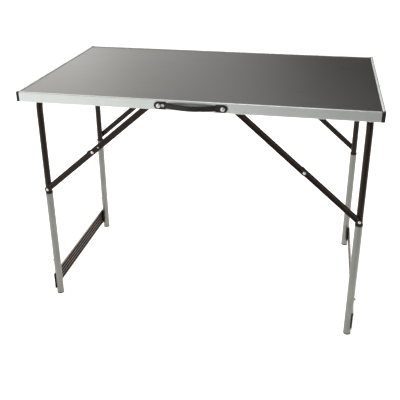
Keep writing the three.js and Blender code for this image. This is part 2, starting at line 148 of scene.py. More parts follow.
def laminate():
    """Dark warm grey satin laminate: a fine pearled surface with faint cloudiness and rubbing."""
    s = Shader("laminate")
    place = s.place()
    cloud = s.noise(place, 7, 4, 0.6)
    speck = s.noise(place, 1400, 2, 0.6)
    rub = s.noise(s.place((1, 4, 1)), 3, 2, 0.5)
    base = s.ramp(cloud, [(0.3, (0.0135, 0.0108, 0.0082)), (0.7, (0.0185, 0.0152, 0.0118))])
    colour = s.mix(s.span(speck, 0, 0.35, 0.45, 0.75), base, (0.036, 0.031, 0.025))
    normal = s.bump(speck, 0.00001, 0.12)
    tint = (1, 0.975, 0.93, 1)
    roughness = s.span(rub, 0.273, 0.283)
    return s.finish(colour, roughness, normal, Specular_IOR_Level=0.46, Specular_Tint=tint)


def hardboard():
    """Bare brown fibreboard with its screen-pressed back outwards."""
    s = Shader("hardboard")
    place = s.place()
    cloud = s.noise(place, 5, 5, 0.6)
    fibre = s.noise(s.place((1, 2.2, 1)), 330, 4, 0.7)
    base = s.ramp(cloud, [(0.25, (0.39, 0.245, 0.125)), (0.75, (0.5, 0.33, 0.18))])
    colour = s.mix(s.span(fibre, 0, 0.55, 0.35, 0.75), base, (0.27, 0.155, 0.07))
    wire = s.add("ShaderNodeTexWave", wave_type="BANDS", bands_direction="X")
    weft = s.add("ShaderNodeTexWave", wave_type="BANDS", bands_direction="Y")
    for wave in (wire, weft):
        wave.inputs["Scale"].default_value = 130
        wave.inputs["Distortion"].default_value = 0.6
        s.join(place, wave.inputs["Vector"])
    fibre_bump = s.bump(fibre, 0.0003, 0.5)
    wire_bump = s.bump(wire.outputs["Fac"], 0.00012, 0.4, fibre_bump)
    normal = s.bump(weft.outputs["Fac"], 0.00012, 0.4, wire_bump)
    return s.finish(colour, s.span(fibre, 0.62, 0.85), normal, Specular_IOR_Level=0.3)


def aluminium(name, along):
    """Satin anodised extrusion, with die lines that run along it."""
    s = Shader(name)
    stretch = {"x": (0.6, 260, 260), "y": (260, 0.6, 260)}[along]
    lines = s.noise(s.place(stretch), 4, 4, 0.7)
    cloud = s.noise(s.place(), 14, 3, 0.5)
    colour = s.ramp(cloud, [(0.3, (0.53, 0.555, 0.535)), (0.7, (0.58, 0.605, 0.585))])
    normal = s.bump(lines, 0.00002, 0.25)
    return s.finish(colour, s.span(lines, 0.34, 0.44), normal, Metallic=1.0)


def moulded(name, colour, roughness):
    """Dark moulded plastic with a fine spark-eroded grain."""
    s = Shader(name)
    place = s.place()
    grain = s.noise(place, 1100, 2, 0.6)
    cloud = s.noise(place, 35, 3, 0.5)
    lighter = tuple(channel * 1.5 for channel in colour)
    base = s.ramp(cloud, [(0.3, colour), (0.75, lighter)])
    normal = s.bump(grain, 0.00008, 0.5)
    worn = s.span(cloud, roughness - 0.05, roughness + 0.08)
    return s.finish(base, worn, normal, Specular_IOR_Level=0.25)


def powder_coat(name, ridge_highlight=0.0):
    """Brown-black powder coat with a slight orange peel, with pale colour painted on its ridges as a
    highlight, by the share given as the second argument.
    """
    s = Shader(name)
    place = s.place()
    peel = s.noise(place, 420, 2, 0.5)
    cloud = s.noise(place, 18, 4, 0.6)
    base = s.ramp(cloud, [(0.3, (0.0095, 0.0055, 0.0042)), (0.72, (0.015, 0.009, 0.007))])
    normal = s.bump(peel, 0.00012, 0.4)
    roughness = s.span(cloud, 0.24, 0.34)
    if ridge_highlight:
        # Painted highlight: the pointed crests of the ridges are painted pale.
        ridge = s.add("ShaderNodeNewGeometry").outputs["Pointiness"]
        base = s.mix(s.span(ridge, 0, ridge_highlight, 0.515, 0.54), base, (0.88, 0.78, 0.71))
        roughness = s.span(ridge, 0.85, 0.3, 0.495, 0.52)
    tint = (1, 0.86, 0.78, 1)
    return s.finish(base, roughness, normal, Specular_IOR_Level=0.2, Specular_Tint=tint)


def silver_tube():
    """Grey satin metallic tube, drawn lengthwise, lightly scuffed by sliding."""
    s = Shader("silver_tube")
    draw = s.noise(s.place((420, 420, 3)), 1.5, 4, 0.7)
    cloud = s.noise(s.place((1, 1, 0.4)), 26, 4, 0.6)
    base = s.ramp(cloud, [(0.3, (0.185, 0.19, 0.175)), (0.72, (0.24, 0.245, 0.225))])
    normal = s.bump(draw, 0.00003, 0.3)
    return s.finish(base, s.span(draw, 0.3, 0.44), normal, Metallic=0.85)


def plated(name, dark, light, roughness):
    """Bright plated or passivated metal for screws, rivets and buttons."""
    s = Shader(name)
    cloud = s.noise(s.place(), 240, 3, 0.6)
    base = s.ramp(cloud, [(0.3, dark), (0.7, light)])
    normal = s.bump(cloud, 0.00004, 0.3)
    return s.finish(base, s.span(cloud, roughness, roughness + 0.14), normal, Metallic=1.0)


MATERIALS = {
    "laminate": laminate(),
    "hardboard": hardboard(),
    "aluminium_x": aluminium("aluminium_x", "x"),
    "aluminium_y": aluminium("aluminium_y", "y"),
    "black_plastic": moulded("black_plastic", (0.007, 0.0065, 0.0065), 0.42),
    "handle_plastic": moulded("handle_plastic", (0.013, 0.0095, 0.0085), 0.38),
    "frame_paint": powder_coat("frame_paint"),
    # ridged_paint: the frame paint with a painted highlight on its ridges.
    "ridged_paint": powder_coat("ridged_paint", 0.8),
    "silver_tube": silver_tube(),
    "zinc": plated("zinc", (0.5, 0.51, 0.5), (0.66, 0.67, 0.66), 0.2),
    "brass": plated("brass", (0.6, 0.41, 0.14), (0.78, 0.58, 0.24), 0.24),
}


# ------------------------------------------------------------------ mesh helpers
def new_object(name, mesh, material, sharp_degrees=SHARP_DEGREES):
    """Linked object with one material, smooth but for edges over the given angle."""
    for polygon in mesh.polygons:
        polygon.use_smooth = True
    mesh.set_sharp_from_angle(angle=math.radians(sharp_degrees))
    mesh.materials.clear()
    mesh.materials.append(MATERIALS[material])
    piece = bpy.data.objects.new(name, mesh)
    bpy.context.scene.collection.objects.link(piece)
    return piece


def build(name, parts, material, sharp_degrees=SHARP_DEGREES):
    """One object from parts, each a (points, faces) pair in metres, with its faces turned outwards."""
    mesh = bpy.data.meshes.new(name)
    shape = bmesh.new()
    for points, faces in parts:
        corners = [shape.verts.new(point) for point in points]
        for face in faces:
            shape.faces.new([corners[index] for index in face])
    bmesh.ops.recalc_face_normals(shape, faces=shape.faces)
    shape.to_mesh(mesh)
    shape.free()
    return new_object(name, mesh, material, sharp_degrees)


def bake_modifiers(piece):
    """Replaces the piece's mesh with the result of its modifiers."""
    evaluated = piece.evaluated_get(bpy.context.evaluated_depsgraph_get())
    mesh = bpy.data.meshes.new_from_object(evaluated)
    piece.modifiers.clear()
    piece.data = mesh
    return piece


def bevel(piece, width):
    """Rounds the piece's sharp edges."""
    modifier = piece.modifiers.new("edges", "BEVEL")
    modifier.width = width
    modifier.segments = 2
    modifier.limit_method = "ANGLE"
    modifier.angle_limit = math.radians(35)
    modifier.use_clamp_overlap = True
    bake_modifiers(piece)
    piece.data.set_sharp_from_angle(angle=math.radians(40))
    return piece


def merge(name, pieces, material):
    """Joins the pieces' meshes into one object."""
    shape = bmesh.new()
    for piece in pieces:
        shape.from_mesh(piece.data)
    mesh = bpy.data.meshes.new(name)
    shape.to_mesh(mesh)
    shape.free()
    for piece in pieces:
        bpy.data.objects.remove(piece)
    return new_object(name, mesh, material, 40)


def drill(piece, cutters):
    """Cuts the (points, faces) cutters out of the piece."""
    for index, cutter in enumerate(cutters):
        tool = build(f"cutter_{index}", [cutter], "zinc")
        modifier = piece.modifiers.new("hole", "BOOLEAN")
        modifier.operation = "DIFFERENCE"
        modifier.solver = "EXACT"
        modifier.object = tool
        bake_modifiers(piece)
        bpy.data.objects.remove(tool)
    piece.data.set_sharp_from_angle(angle=math.radians(SHARP_DEGREES))
    return piece


def along(axis):
    """Rotation that takes the lathe's own Z to the given axis."""
    return Z_AXIS.rotation_difference(axis).to_matrix()


def lathe(profile, axis, origin, sides=40, closed=False):
    """Solid of revolution from (radius, distance along the axis) points."""
    turn = along(axis)
    points = []
    rows = []
    for radius, distance in profile:
        if radius < 1e-7:
            rows.append([len(points)])
            points.append(origin + turn @ Vector((0, 0, distance)))
            continue
        rows.append(list(range(len(points), len(points) + sides)))
        for step in range(sides):
            angle = 2 * math.pi * step / sides
            spoke = Vector((radius * math.cos(angle), radius * math.sin(angle), distance))
            points.append(origin + turn @ spoke)
    pairs = list(zip(rows, rows[1:]))
    if closed:
        pairs.append((rows[-1], rows[0]))
    faces = []
    for low, high in pairs:
        for step in range(sides):
            after = (step + 1) % sides
            if len(low) == 1:
                faces.append((low[0], high[after], high[step]))
            elif len(high) == 1:
                faces.append((low[step], low[after], high[0]))
            else:
                faces.append((low[step], low[after], high[after], high[step]))
    return points, faces


def cylinder(radius, start, stop, axis, origin, sides=32):
    """Cylinder between two distances along the axis from the origin."""
    return lathe([(0, start), (radius, start), (radius, stop), (0, stop)], axis, origin, sides)


def loft(loops, ring=False):
    """Skin over closed loops of equally many points, capped, or closed on itself as a ring."""
    count = len(loops[0])
    points = [point for loop in loops for point in loop]
    faces = []
    pairs = [(row, row + 1) for row in range(len(loops) - 1)]
    if ring:
        pairs.append((len(loops) - 1, 0))
    for low, high in pairs:
        for step in range(count):
            after = (step + 1) % count
            a, b = low * count, high * count
            faces.append((a + step, a + after, b + after, b + step))
    if not ring:
        faces.append(tuple(reversed(range(count))))
        faces.append(tuple(range(len(points) - count, len(points))))
    return points, faces


def arc(centre, radius, start_degrees, stop_degrees, steps):
    """Points on an arc in a plane, both ends included."""
    points = []
    for step in range(steps + 1):
        angle = math.radians(start_degrees + (stop_degrees - start_degrees) * step / steps)
        points.append((centre[0] + radius * math.cos(angle), centre[1] + radius * math.sin(angle)))
    return points


def rounded_copy(name, node, material, width):
    """Copy of a CAD node with its flat faces made whole and its edges rounded."""
    mesh = frame["nodes"][node].data.copy()
    shape = bmesh.new()
    shape.from_mesh(mesh)
    bmesh.ops.remove_doubles(shape, verts=shape.verts, dist=2e-6)
    bmesh.ops.dissolve_limit(
        shape, angle_limit=math.radians(2), verts=shape.verts, edges=shape.edges, delimit={"NORMAL"}
    )
    shape.to_mesh(mesh)
    shape.free()
    piece = new_object(name, mesh, material)
    return bevel(piece, width)


def dome(radius, height, steps=5):
    """Profile points of a low dome from its rim to its crown."""
    points = []
    for step in range(steps + 1):
        angle = math.pi / 2 * step / steps
        points.append((radius * math.cos(angle), height * math.sin(angle)))
    points[-1] = (0, height)
    return points


def rivet(radius, height, axis, origin, under=0.4 * MM):
    """Domed rivet head standing on origin, with a short skirt below it."""
    rim = height * 0.25
    profile = [(0, -under), (radius * 0.97, -under), (radius, 0), (radius, rim)]
    profile += [(r, rim + h) for r, h in dome(radius, height - rim)[1:]]
    return lathe(profile, axis, origin, 32)


def settle(piece, body, slot, *nodes):
    """Puts the piece on its body, in the place of the named nodes; slot is not used."""
    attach(piece, body)
    if nodes:
        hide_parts(*nodes)
    return piece


# ------------------------------------------------------------------ top: board, rails and caps
RAIL_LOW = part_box("rail_front")[0].z
TABLE_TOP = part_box("rail_front")[1].z
TOP_LOW = Vector((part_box("rail_left")[0].x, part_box("rail_front")[0].y, RAIL_LOW))
TOP_HIGH = Vector((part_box("rail_right")[1].x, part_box("rail_rear")[1].y, TABLE_TOP))
TOP_CENTRE = (TOP_LOW + TOP_HIGH) / 2
BOTTOM_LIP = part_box("rail_front")[1].y - TOP_LOW.y
LIP_THICK = 1.5 * MM
RAIL_WALL = 1.6 * MM
CAP_SIZE = 10 * MM


def dress_board():
    """Better materials on the board's two CAD sheets."""
    for node, material in (("top_laminate", "laminate"), ("top_panel", "hardboard")):
        mesh = frame["nodes"][node].data
        mesh.materials.clear()
        mesh.materials.append(MATERIALS[material])


def rail_section():
    """Pairs of outer and inner skin points, each (depth inwards, height), from lip to lip."""
    low, top = RAIL_LOW, TABLE_TOP
    edge = 0.4 * MM
    low_bend, top_bend = 1.2 * MM, 1.6 * MM
    inner_low, inner_top = low + LIP_THICK, top - LIP_THICK
    pairs = [
        ((BOTTOM_LIP, low + edge), (BOTTOM_LIP, inner_low - edge)),
        ((BOTTOM_LIP - edge, low), (BOTTOM_LIP - edge, inner_low)),
    ]
    for point in arc((low_bend, low + low_bend), low_bend, 270, 180, 6):
        pairs.append((point, (RAIL_WALL, inner_low)))
    for height in (low + 6 * MM, top - 6 * MM):
        pairs.append(((0, height), (RAIL_WALL, height)))
    for point in arc((top_bend, top - top_bend), top_bend, 180, 90, 7):
        pairs.append((point, (RAIL_WALL, inner_top)))
    for depth, drop in ((2.6, 0), (6.8, 0), (7.4, 0.15), (7.8, 0.45), (7.95, 0.9)):
        pairs.append(((depth * MM, top - drop * MM), (depth * MM, inner_top)))
    return pairs


def add_rail(name, half_run, half_span, turn_degrees, material):
    """Channel extrusion with mitred lips, that stops at the corner caps."""
    turn = Matrix.Rotation(math.radians(turn_degrees), 4, "Z")
    shift = Matrix.Translation(Vector((TOP_CENTRE.x, TOP_CENTRE.y, 0)))
    pairs = rail_section()
    points = []
    for end in (-1, 1):
        for outer, inner in pairs:
            for depth, height in (outer, inner):
                reach = half_run - max(CAP_SIZE, depth) - 0.15 * MM
                points.append(shift @ turn @ Vector((end * reach, depth - half_span, height)))
    half = 2 * len(pairs)
    faces = []
    for step in range(len(pairs) - 1):
        a, b = 2 * step, 2 * step + 2
        faces.append((a, b, half + b, half + a))
        faces.append((b + 1, a + 1, half + a + 1, half + b + 1))
        faces.append((a + 1, b + 1, b, a))
        faces.append((half + a, half + b, half + b + 1, half + a + 1))
    last = half - 2
    faces.append((1, 0, half, half + 1))
    faces.append((last, last + 1, half + last + 1, half + last))
    rail = build(f"{name}_extrusion", [(points, faces)], material, 50)
    settle(rail, "table", "aluminium", name)


def add_rails():
    """Four rails; each is made along X and turned to its side of the top."""
    half_x = (TOP_HIGH.x - TOP_LOW.x) / 2
    half_y = (TOP_HIGH.y - TOP_LOW.y) / 2
    add_rail("rail_front", half_x, half_y, 0, "aluminium_x")
    add_rail("rail_right", half_y, half_x, 90, "aluminium_y")
    add_rail("rail_rear", half_x, half_y, 180, "aluminium_x")
    add_rail("rail_left", half_y, half_x, -90, "aluminium_y")


def add_caps():
    """Corner caps, with the CAD's shape and rounded edges."""
    for end in ENDS:
        for side in SIDES:
            node = f"cap_{end}_{side}"
            cap = rounded_copy(f"{node}_moulding", node, "black_plastic", 0.7 * MM)
            settle(cap, "table", "black_plastic", node)


# ------------------------------------------------------------------ carry handle
HANDLE_LOW, HANDLE_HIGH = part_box("carry_handle")
HANDLE_Z = (HANDLE_LOW.z + HANDLE_HIGH.z) / 2
SCREW_LOW, SCREW_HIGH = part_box("handle_screw_right")
SCREW_X = (SCREW_LOW.x + SCREW_HIGH.x) / 2
SCREW_R = (SCREW_HIGH.z - SCREW_LOW.z) / 2
TAB_HALF = (HANDLE_HIGH.z - HANDLE_LOW.z) / 2
GRIP_HALF = 7.5 * MM
TAB_THICK = 4 * MM
GRIP_THICK = 4.5 * MM
TAB_FROM = 67 * MM
GROOVES = 3
GROOVED_SHARE = 0.85


def strap_loop(x, back, half_height, thick, groove, lean):
    """Section of the strap at x: back is its distance in front of the rail, lean tips it along the bow."""
    rows = 24
    loop = []
    for row in range(rows + 1):
        v = 2 * row / rows - 1
        rim = (1 - abs(v) ** 7) ** 0.5
        sunk = 0
        if abs(v) < GROOVED_SHARE:
            sunk = groove * (0.5 - 0.5 * math.cos(v * GROOVES * math.pi / GROOVED_SHARE))
        loop.append((v * half_height, thick * (0.45 + 0.55 * rim) - sunk))
    loop += [(half_height * 0.97, 0.25 * MM), (half_height * 0.88, 0)]
    loop += [(-half_height * 0.88, 0), (-half_height * 0.97, 0.25 * MM)]
    points = []
    for height, depth in loop:
        along_x = x - depth * math.sin(lean)
        out = back + depth * math.cos(lean)
        points.append(Vector((along_x, HANDLE_HIGH.y - out, HANDLE_Z + height)))
    return points


def handle_stations():
    """Arguments of strap_loop from the right-hand tab's round end to the middle of the bowed grip."""
    reach = TAB_FROM + 2 * MM
    proud = HANDLE_HIGH.y - HANDLE_LOW.y - GRIP_THICK
    stations = []
    end_steps = 9
    for step in range(end_steps + 1):
        angle = math.pi / 2 * step / end_steps
        x = HANDLE_HIGH.x - TAB_HALF + TAB_HALF * math.cos(angle)
        height = max(TAB_HALF * math.sin(angle), 0.6 * MM)
        stations.append((x, 0, height, TAB_THICK * (0.75 + 0.25 * math.sin(angle)), 0, 0))
    stations.append((TAB_FROM + 1.2 * MM, 0, TAB_HALF, TAB_THICK, 0, 0))
    stations.append((TAB_FROM + 0.4 * MM, 0, TAB_HALF - 0.4 * MM, TAB_THICK, 0, 0))
    grip_steps = 22
    nudge = 0.5 * MM
    for step in range(grip_steps + 1):
        x = (TAB_FROM - 0.2 * MM) * (1 - step / grip_steps)
        bow, ahead = (proud * math.cos(math.pi * at / 2 / reach) ** 1.3 for at in (x, x + nudge))
        lean = math.atan2(bow - ahead, nudge) * 0.9
        fade = min(step / 3, 1)
        thick = TAB_THICK + (GRIP_THICK - TAB_THICK) * fade
        stations.append((x, bow, GRIP_HALF, thick, 0.7 * MM * fade, -lean))
    return stations


def add_handle():
    """Bowed strap with ribs moulded along its grip, a hole in its right-hand tab and a slot in its left."""
    stations = handle_stations()
    mirrored = [(-x, *middle, -lean) for x, *middle, lean in stations[-2::-1]]
    loops = [strap_loop(*station) for station in stations + mirrored]
    handle = build("carry_handle_strap", [loft(loops)], "handle_plastic", 45)
    hole_r = 4.5 * MM
    slot_run = 12 * MM
    behind, ahead = 2 * MM, 9 * MM
    seat = HANDLE_HIGH.y
    hole = cylinder(hole_r, -behind, ahead, -Y_AXIS, Vector((SCREW_X, seat, HANDLE_Z)))
    outline = arc((-SCREW_X, HANDLE_Z), hole_r, 90, 270, 12)
    outline += arc((-SCREW_X + slot_run, HANDLE_Z), hole_r, -90, 90, 12)
    slot = [[Vector((x, y, z)) for x, z in outline] for y in (seat + behind, seat - ahead)]
    drill(handle, [hole, loft(slot)])
    settle(handle, "table", "handle_plastic", "carry_handle")


def screw_head(name, radius, height, axis, origin, shank=None):
    """Pan head with a cross recess; shank is (radius, length) of the part below the head."""
    profile = [(radius, 0), (radius, height * 0.35)]
    profile += [(radius * 0.93 * r, height * 0.35 + height * 0.65 * h) for r, h in dome(1, 1, 6)]
    if shank:
        profile = [(0, -shank[1]), (shank[0], -shank[1]), (shank[0], 0), *profile]
    else:
        profile = [(0, 0), *profile]
    head = build(name, [lathe(profile, axis, origin, 40)], "zinc")
    across = X_AXIS if abs(axis.x) < 0.5 else Y_AXIS
    other = axis.cross(across)
    arm, width = radius * 0.464, radius * 0.1
    corners = ((-1, -1), (1, -1), (1, 1), (-1, 1))
    cutters = []
    for first, second in ((across, other), (other, across)):
        loops = []
        for depth, grow in ((height * 0.45, 0.72), (height * 1.3, 1.15)):
            centre = origin + axis * depth
            loops.append([centre + first * (a * arm * grow) + second * (b * width) for a, b in corners])
        cutters.append(loft(loops))
    return drill(head, cutters)


def add_handle_screws():
    """Pan-head screws that hold the strap's two tabs."""
    for side in SIDES:
        node = f"handle_screw_{side}"
        low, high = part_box(node)
        head = 2.5 * MM
        origin = Vector(((low.x + high.x) / 2, low.y + head, HANDLE_Z))
        shank = (4 * MM, high.y - origin.y)
        screw = screw_head(f"{node}_pan", SCREW_R, head, -Y_AXIS, origin, shank)
        settle(screw, "table", "zinc", node)


# ------------------------------------------------------------------ hinge and brace brackets
BAR_R = 9.5 * MM
STRIP = 2 * MM


def add_hinge_bracket(side, end):
    """Strap that wraps the frame's top bar and turns down on to a plate riveted to the short rail."""
    node = f"hinge_bracket_{side}_{end}"
    sign = SIDES[side]
    low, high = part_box(node)
    centre_y = (low.y + high.y) / 2
    pivot = Vector(JOINTS[f"{side}_leg_fold"]["pos_m"])
    inner_r = BAR_R + 0.4 * MM
    half = 11 * MM
    wall = high.x if sign > 0 else low.x
    arm_end = abs(wall - pivot.x) - STRIP

    def skin(radius):
        """Line along the arm and round the bar."""
        return [(arm_end * step / 6, radius) for step in range(6, 0, -1)] + arc((0, 0), radius, 90, 400, 34)

    outline = skin(inner_r) + skin(inner_r + STRIP)[::-1]
    sections = []
    for y in (centre_y - half, centre_y + half):
        sections.append([Vector((pivot.x + sign * a, y, pivot.z + b)) for a, b in outline])
    strap = bevel(build("strap", [loft(sections)], "frame_paint"), 0.35 * MM)
    round_r = (high.z - low.z) / 2
    middle = (low.z + high.z) / 2
    reach = (high.y - low.y) / 2 - round_r
    edge = arc((centre_y + reach, middle), round_r, -90, 90, 12)
    edge += arc((centre_y - reach, middle), round_r, 90, 270, 12)
    face_x = wall - sign * STRIP
    plate_loops = [[Vector((x, y, z)) for y, z in edge] for x in (wall, face_x)]
    plate = bevel(build("plate", [loft(plate_loops)], "frame_paint"), 0.5 * MM)
    bracket = merge(f"{node}_pressing", [strap, plate], "frame_paint")
    settle(bracket, "table", "frame_paint", node)

    rivets = []
    for offset in (-21 * MM, 21 * MM):
        spot = Vector((face_x, centre_y + offset, middle))
        rivets.append(rivet(3.6 * MM, 1.5 * MM, -X_AXIS * sign, spot))
    arm_mid = pivot.x + sign * arm_end * 0.62
    under = Vector((arm_mid, centre_y, pivot.z + inner_r))
    rivets.append(rivet(4.2 * MM, 1.8 * MM, -Z_AXIS, under))
    settle(build(f"hinge_rivets_{side}_{end}", rivets, "zinc"), "table", "zinc")


def add_brace_bracket(side, end):
    """Pressed bracket under the board, with the heads of its pivot and of its two rivets."""
    node = f"brace_bracket_{side}_{end}"
    bracket = rounded_copy(f"{node}_pressing", node, "frame_paint", 0.4 * MM)
    settle(bracket, "table", "frame_paint", node)
    low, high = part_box(node)
    pivot = Vector(JOINTS[f"{side}_{end}_upper_brace_fold"]["pos_m"])
    outward = Y_AXIS * ENDS[end]
    ear_outer = 3.4 * MM
    heads = [rivet(4.6 * MM, 1.4 * MM, outward, pivot + outward * ear_outer)]
    wall = high.y if ENDS[end] > 0 else low.y
    plate_face = wall - ENDS[end] * STRIP
    for offset in (-15 * MM, 15 * MM):
        spot = Vector((pivot.x + offset, plate_face, (low.z + high.z) / 2))
        heads.append(rivet(2.8 * MM, 1.2 * MM, -outward, spot))
    settle(build(f"brace_bracket_rivets_{side}_{end}", heads, "zinc"), "table", "zinc")


# ------------------------------------------------------------------ legs
HEIGHT_HOLES = 4
TUBE_BORE_R = 9.8 * MM


def add_leg_frame(side):
    """U-shaped tube, open at its two lower ends."""
    node = f"leg_frame_{side}"
    low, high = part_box(node)
    bore = 8.3 * MM
    bend = 50 * MM
    x = (low.x + high.x) / 2
    centre_y = (low.y + high.y) / 2
    leg = (high.y - low.y) / 2 - BAR_R
    top = high.z - BAR_R
    steps = 18
    stations = [(-leg, low.z, 0.0)]
    for sign in (-1, 1):
        for step in range(steps + 1):
            angle = math.pi / 2 * (step if sign < 0 else steps - step) / steps
            y = sign * (leg - bend + bend * math.cos(angle))
            z = top - bend + bend * math.sin(angle)
            stations.append((y, z, angle if sign < 0 else math.pi - angle))
    stations.append((leg, low.z, math.pi))
    sides = 36

    def ring_at(station, radius):
        """Circle square to the tube's path."""
        y, z, turn = station
        points = []
        for step in range(sides):
            angle = 2 * math.pi * step / sides
            across = radius * math.cos(angle)
            spoke = Vector((radius * math.sin(angle), across * math.cos(turn), -across * math.sin(turn)))
            points.append(Vector((x, centre_y + y, z)) + spoke)
        return points

    skins = [ring_at(station, BAR_R) for station in stations]
    skins += [ring_at(station, bore) for station in reversed(stations)]
    tube = build(f"{node}_tube", [loft(skins, ring=True)], "frame_paint", 50)
    settle(tube, f"{side}_leg", "frame_paint", node)
    pins = []
    tilt = math.radians(34)
    for sign in ENDS.values():
        outward = Vector((0, sign * math.cos(tilt), math.sin(tilt)))
        bend_centre = Vector((x, centre_y + sign * (leg - bend), top - bend))
        pins.append(rivet(2.4 * MM, 0.9 * MM, outward, bend_centre + outward * (bend + BAR_R - 0.15 * MM)))
    settle(build(f"leg_pins_{side}", pins, "zinc"), f"{side}_leg", "zinc")


def leg_axis(node):
    """Point of the node's upright axis at floor height, and the node's lowest and highest z."""
    low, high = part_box(node)
    return Vector(((low.x + high.x) / 2, (low.y + high.y) / 2, 0)), low.z, high.z


def add_lower_leg(side, end):
    """Lower tube with its row of height holes on the outer side."""
    name = f"{side}_{end}"
    node = f"lower_leg_{name}"
    foot, low, high = leg_axis(node)
    outward = X_AXIS * SIDES[side]
    outer, bore = 11 * MM, TUBE_BORE_R
    lip = 0.4 * MM
    profile = [(bore, low), (outer - lip, low), (outer, low + lip)]
    profile += [(outer, high - lip), (outer - lip, high), (bore, high)]
    tube = build(f"{node}_tube", [lathe(profile, Z_AXIS, foot, 48, closed=True)], "silver_tube")
    button_low, button_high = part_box(f"height_button_{name}")
    first = (button_low.z + button_high.z) / 2
    pitch = JOINTS[f"{side}_height"]["range_m"][1] / (HEIGHT_HOLES - 1)
    holes = []
    for step in range(HEIGHT_HOLES):
        centre = foot + Z_AXIS * (first + step * pitch)
        holes.append(cylinder(4 * MM, 5 * MM, 14 * MM, outward, centre, 28))
    settle(drill(tube, holes), f"{side}_lower", "silver_tube", node)


def add_collar(side, end):
    """Bush on the lower tube's upper end, with a shallow waist between two rims."""
    node = f"collar_{side}_{end}"
    foot, low, high = leg_axis(node)
    bore, outer = TUBE_BORE_R, 11.2 * MM
    waist = outer - 0.35 * MM
    profile = [(bore, low), (outer - 0.3 * MM, low), (outer, low + 0.3 * MM), (outer, low + 3.6 * MM)]
    profile += [(waist, low + 4 * MM), (waist, high - 3 * MM), (outer, high - 2.6 * MM)]
    profile += [(outer, high - 1.2 * MM), (waist, high - 0.35 * MM), (outer - 0.9 * MM, high), (bore, high)]
    collar = build(f"{node}_bush", [lathe(profile, Z_AXIS, foot, 48, closed=True)], "black_plastic", 50)
    settle(collar, f"{side}_lower", "black_plastic", node)


def add_foot(side, end):
    """Plug with a rounded skirt, hollowed a little in the middle of its sole."""
    node = f"foot_{side}_{end}"
    foot, low, high = leg_axis(node)
    rim, stub = 11.3 * MM, 9.5 * MM
    skirt = 3 * MM
    edge = 1.1 * MM
    chamfer = 0.4 * MM
    taper = 1.5 * MM
    profile = [(0, low + 0.6 * MM), (5 * MM, low + 0.6 * MM), (5.6 * MM, low)]
    profile += [(rim - edge + r, low + edge + h) for r, h in arc((0, 0), edge, -90, 0, 5)]
    profile += [(rim, skirt - chamfer), (rim - chamfer, skirt), (stub, skirt)]
    profile += [(stub, high - taper), (stub - taper, high), (0, high)]
    plug = build(f"{node}_plug", [lathe(profile, Z_AXIS, foot, 48)], "black_plastic", 50)
    settle(plug, f"{side}_lower", "black_plastic", node)


def add_button(side, end):
    """Domed spring button on a neck that comes out through a hole of the lower tube."""
    node = f"height_button_{side}_{end}"
    low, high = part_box(node)
    outward = X_AXIS * SIDES[side]
    pivot_x = JOINTS[f"{side}_leg_fold"]["pos_m"][0]
    tip = max(abs(low.x - pivot_x), abs(high.x - pivot_x))
    radius = (high.z - low.z) / 2
    crown = 2.4 * MM
    neck = 7.6 * MM
    profile = [(0, neck), (radius, neck)]
    profile += [(r, tip - crown + h) for r, h in dome(radius, crown, 7)]
    origin = Vector((pivot_x, (low.y + high.y) / 2, (low.z + high.z) / 2))
    button = build(f"{node}_dome", [lathe(profile, outward, origin, 32)], "brass")
    settle(button, f"{side}_{end}_button", "brass", node)


# ------------------------------------------------------------------ crossbars
BAR_SHEET = 1.4 * MM
RIDGES = 4
RIDGE_PITCH = 12 * MM


def slab_faces(wide, deep):
    """Faces of two grids of wide by deep points, one over the other, closed along their border."""
    faces = []
    other = wide * deep
    for base in (0, other):
        for row in range(deep - 1):
            for column in range(wide - 1):
                a = base + row * wide + column
                faces.append((a, a + 1, a + wide + 1, a + wide))
    border = list(range(wide))
    border += [row * wide + wide - 1 for row in range(1, deep)]
    border += [(deep - 1) * wide + column for column in range(wide - 2, -1, -1)]
    border += [row * wide for row in range(deep - 2, 0, -1)]
    for a, b in zip(border, border[1:] + border[:1]):
        faces.append((a, b, other + b, other + a))
    return faces


def add_crossbar(side):
    """Pressed bar with ridges that fade out to flat ends."""
    node = f"crossbar_{side}"
    low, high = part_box(node)
    sign = SIDES[side]
    back = low.x if sign > 0 else high.x
    ridge = high.x - low.x - BAR_SHEET
    middle = (low.z + high.z) / 2
    half_z = (high.z - low.z) / 2
    corner = 4 * MM
    tab = 26 * MM
    fade_run = 9 * MM
    lip_run = 2 * MM
    lip_rise = 0.9 * MM
    rows = [(step / 10 - RIDGES / 2) * RIDGE_PITCH for step in range(RIDGES * 10 + 1)]
    edge = [half_z - lip_run, half_z - 0.8 * MM, half_z]
    heights = [*(-value for value in reversed(edge)), *rows, *edge]
    stations = [0, 1 * MM, 2.2 * MM, corner]
    stations += [tab + fade_run * step / 6 - fade_run / 2 for step in range(7)]
    span = high.y - low.y
    stations += [span / 2, *(span - value for value in reversed(stations))]

    def relief(height, station):
        """How far the sheet is pressed out at a height and a distance along the bar."""
        reach = min(station, span - station)
        fade = min(max((reach - tab + fade_run / 2) / fade_run, 0), 1)
        fade = fade * fade * (3 - 2 * fade)
        if abs(height) > RIDGES * RIDGE_PITCH / 2 + 1e-9:
            return lip_rise * fade * max(abs(height) - half_z + lip_run, 0) / lip_run
        wave = (1 - math.cos(2 * math.pi * (height / RIDGE_PITCH + RIDGES / 2))) / 2
        return ridge * fade * wave ** 0.8

    def narrowed(height, station):
        """The height drawn in by the rounding of the bar's corners."""
        reach = min(station, span - station)
        if reach >= corner:
            return height
        inset = corner - math.sqrt(max(corner ** 2 - (corner - reach) ** 2, 0))
        return height * (half_z - inset) / half_z

    points = []
    for layer in (BAR_SHEET, 0):
        for station in stations:
            for height in heights:
                x = back + sign * (relief(height, station) + layer)
                points.append(Vector((x, low.y + station, middle + narrowed(height, station))))
    faces = slab_faces(len(heights), len(stations))
    bar = build(f"{node}_pressing", [(points, faces)], "ridged_paint", 40)
    settle(bar, f"{side}_lower", "frame_paint", node)
    add_crossbar_screws(side, back + sign * BAR_SHEET, middle)


